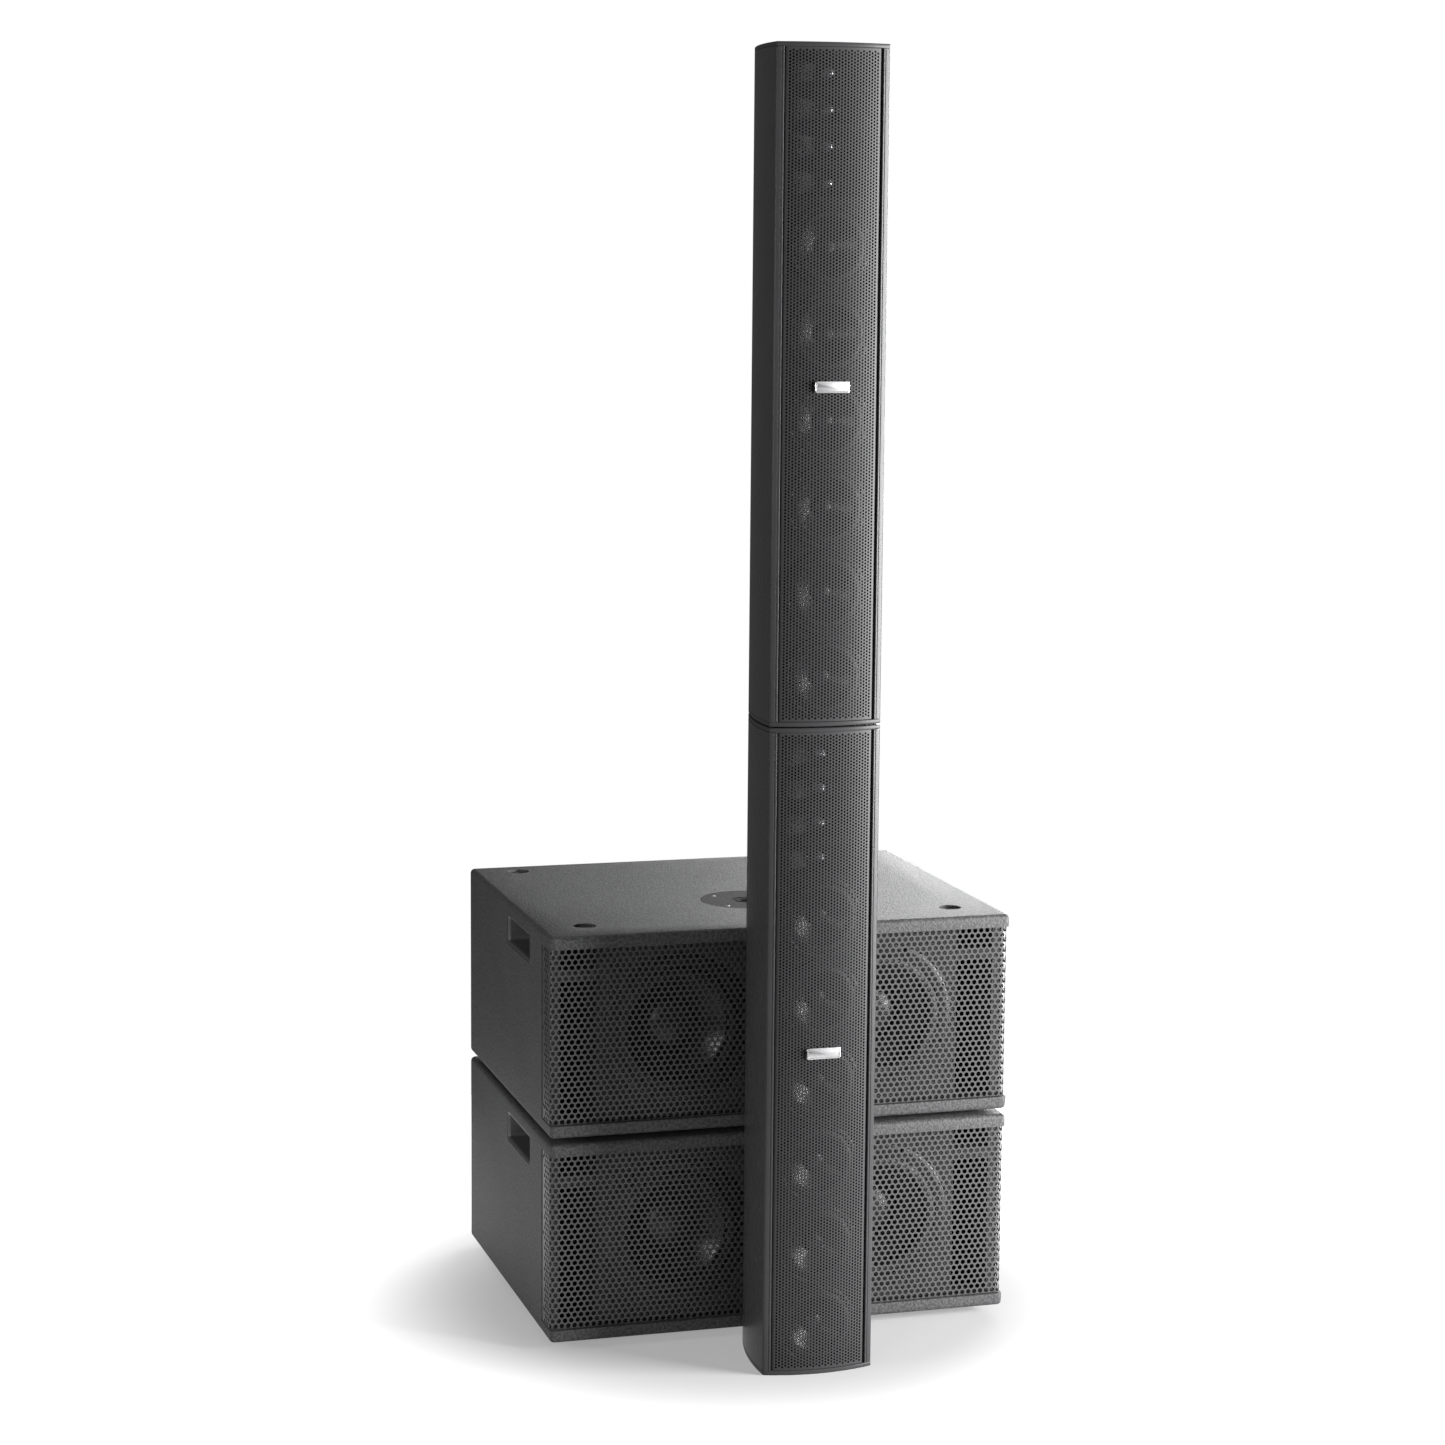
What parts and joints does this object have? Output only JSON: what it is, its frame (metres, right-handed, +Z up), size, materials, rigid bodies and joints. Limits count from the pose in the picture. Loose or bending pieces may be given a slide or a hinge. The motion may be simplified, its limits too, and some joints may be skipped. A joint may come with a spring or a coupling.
{
  "type": "column pa system",
  "caption": "Column loudspeaker of two stacked slim units, standing in front of two stacked low subwoofer cabinets.",
  "frame": {"origin": "centre of the footprint, on the floor", "axes": "+Z up; the loudspeakers face -Y, with the subwoofers behind the column; +X to the right seen from the front"},
  "size_m": [0.676, 0.715, 1.8],
  "materials": {
    "anodised_aluminium": "dark charcoal satin anodised extrusion",
    "driver_frame": "black powder coat on aluminium",
    "grille_steel": "black powder coat on perforated steel",
    "moulded_plastic": "black moulded plastic",
    "rear_panel_aluminium": "black powder coat on aluminium",
    "socket_plastic": "black moulded connector bodies",
    "textured_paint": "black fine textured paint on plywood",
    "cast_basket": "black painted frame with its magnet",
    "handle_plastic": "black moulded plastic",
    "black_steel": "black satin steel",
    "amp_aluminium": "black powder coat on aluminium",
    "zinc_steel": "zinc plated steel",
    "column_cone": "coated paper cone with a rubber surround",
    "sub_cone": "coated paper cone with a rubber surround",
    "knob_plastic": "dark grey soft plastic",
    "switch_plastic": "black glossy plastic"
  },
  "bodies": {
    "root": {"lower_column_shell": "anodised_aluminium", "lower_column_bottom_cap": "anodised_aluminium", "lower_column_top_cap": "anodised_aluminium", "lower_column_driver_frame": "driver_frame", "lower_column_grille": "grille_steel", "lower_column_tweeter_array": "moulded_plastic", "lower_column_rear_panel": "rear_panel_aluminium", "lower_column_socket_board": "socket_plastic", "coupling_left_pin": "zinc_steel", "coupling_right_pin": "zinc_steel", "lower_sub_cabinet": "textured_paint", "lower_sub_grille": "grille_steel", "lower_sub_left_basket": "cast_basket", "lower_sub_right_basket": "cast_basket", "lower_sub_left_handle_cup": "handle_plastic", "lower_sub_right_handle_cup": "handle_plastic", "lower_sub_pole_plate": "black_steel", "lower_sub_amp_panel": "amp_aluminium", "lower_sub_socket_board": "socket_plastic", "upper_sub_cabinet": "textured_paint", "upper_sub_grille": "grille_steel", "upper_sub_left_basket": "cast_basket", "upper_sub_right_basket": "cast_basket", "upper_sub_left_handle_cup": "handle_plastic", "upper_sub_right_handle_cup": "handle_plastic", "upper_sub_pole_plate": "black_steel", "upper_sub_amp_panel": "amp_aluminium", "upper_sub_socket_board": "socket_plastic"},
    "upper_column": {"upper_column_shell": "anodised_aluminium", "upper_column_bottom_cap": "anodised_aluminium", "upper_column_top_cap": "anodised_aluminium", "upper_column_driver_frame": "driver_frame", "upper_column_grille": "grille_steel", "upper_column_tweeter_array": "moulded_plastic", "upper_column_rear_panel": "rear_panel_aluminium", "upper_column_socket_board": "socket_plastic"},
    "lower_column_cones": {"lower_column_cone_1": "column_cone", "lower_column_cone_2": "column_cone", "lower_column_cone_3": "column_cone", "lower_column_cone_4": "column_cone", "lower_column_cone_5": "column_cone", "lower_column_cone_6": "column_cone"},
    "upper_column_cones": {"upper_column_cone_1": "column_cone", "upper_column_cone_2": "column_cone", "upper_column_cone_3": "column_cone", "upper_column_cone_4": "column_cone", "upper_column_cone_5": "column_cone", "upper_column_cone_6": "column_cone"},
    "lower_sub_cones": {"lower_sub_left_cone": "sub_cone", "lower_sub_right_cone": "sub_cone"},
    "upper_sub_cones": {"upper_sub_left_cone": "sub_cone", "upper_sub_right_cone": "sub_cone"},
    "lower_column_level_knob": {"lower_column_level_knob": "knob_plastic"},
    "lower_column_power_switch": {"lower_column_power_switch": "switch_plastic"},
    "upper_column_level_knob": {"upper_column_level_knob": "knob_plastic"},
    "upper_column_power_switch": {"upper_column_power_switch": "switch_plastic"},
    "lower_sub_level_knob": {"lower_sub_level_knob": "knob_plastic"},
    "lower_sub_power_switch": {"lower_sub_power_switch": "switch_plastic"},
    "upper_sub_level_knob": {"upper_sub_level_knob": "knob_plastic"},
    "upper_sub_power_switch": {"upper_sub_power_switch": "switch_plastic"}
  },
  "joints": [
    {"name": "upper_column_lift", "type": "slide", "parent": "root", "child": "upper_column", "axis": [0, 0, 1], "range_m": [0, 0.03]},
    {"name": "lower_column_cone_travel", "type": "slide", "parent": "root", "child": "lower_column_cones", "axis": [0, -1, 0], "range_m": [-0.003, 0.003], "stiffness_N_per_m": 12000},
    {"name": "upper_column_cone_travel", "type": "slide", "parent": "upper_column", "child": "upper_column_cones", "axis": [0, -1, 0], "range_m": [-0.003, 0.003], "stiffness_N_per_m": 12000},
    {"name": "lower_sub_cone_travel", "type": "slide", "parent": "root", "child": "lower_sub_cones", "axis": [0, -1, 0], "range_m": [-0.006, 0.006], "stiffness_N_per_m": 6000},
    {"name": "upper_sub_cone_travel", "type": "slide", "parent": "root", "child": "upper_sub_cones", "axis": [0, -1, 0], "range_m": [-0.006, 0.006], "stiffness_N_per_m": 6000},
    {"name": "lower_column_level_turn", "type": "hinge", "parent": "root", "child": "lower_column_level_knob", "pos_m": [0, -0.1825, 0.797], "axis": [0, 1, 0], "range_deg": [-150, 150]},
    {"name": "lower_column_power_rock", "type": "hinge", "parent": "root", "child": "lower_column_power_switch", "pos_m": [0, -0.1825, 0.652], "axis": [-1, 0, 0], "range_deg": [0, 14]},
    {"name": "upper_column_level_turn", "type": "hinge", "parent": "upper_column", "child": "upper_column_level_knob", "pos_m": [0, -0.1825, 1.698], "axis": [0, 1, 0], "range_deg": [-150, 150]},
    {"name": "upper_column_power_rock", "type": "hinge", "parent": "upper_column", "child": "upper_column_power_switch", "pos_m": [0, -0.1825, 1.553], "axis": [-1, 0, 0], "range_deg": [0, 14]},
    {"name": "lower_sub_level_turn", "type": "hinge", "parent": "root", "child": "lower_sub_level_knob", "pos_m": [-0.085, 0.3392, 0.202], "axis": [0, 1, 0], "range_deg": [-150, 150]},
    {"name": "lower_sub_power_rock", "type": "hinge", "parent": "root", "child": "lower_sub_power_switch", "pos_m": [0.075, 0.3392, 0.087], "axis": [-1, 0, 0], "range_deg": [0, 14]},
    {"name": "upper_sub_level_turn", "type": "hinge", "parent": "root", "child": "upper_sub_level_knob", "pos_m": [-0.085, 0.3392, 0.496], "axis": [0, 1, 0], "range_deg": [-150, 150]},
    {"name": "upper_sub_power_rock", "type": "hinge", "parent": "root", "child": "upper_sub_power_switch", "pos_m": [0.075, 0.3392, 0.381], "axis": [-1, 0, 0], "range_deg": [0, 14]}
  ]
}
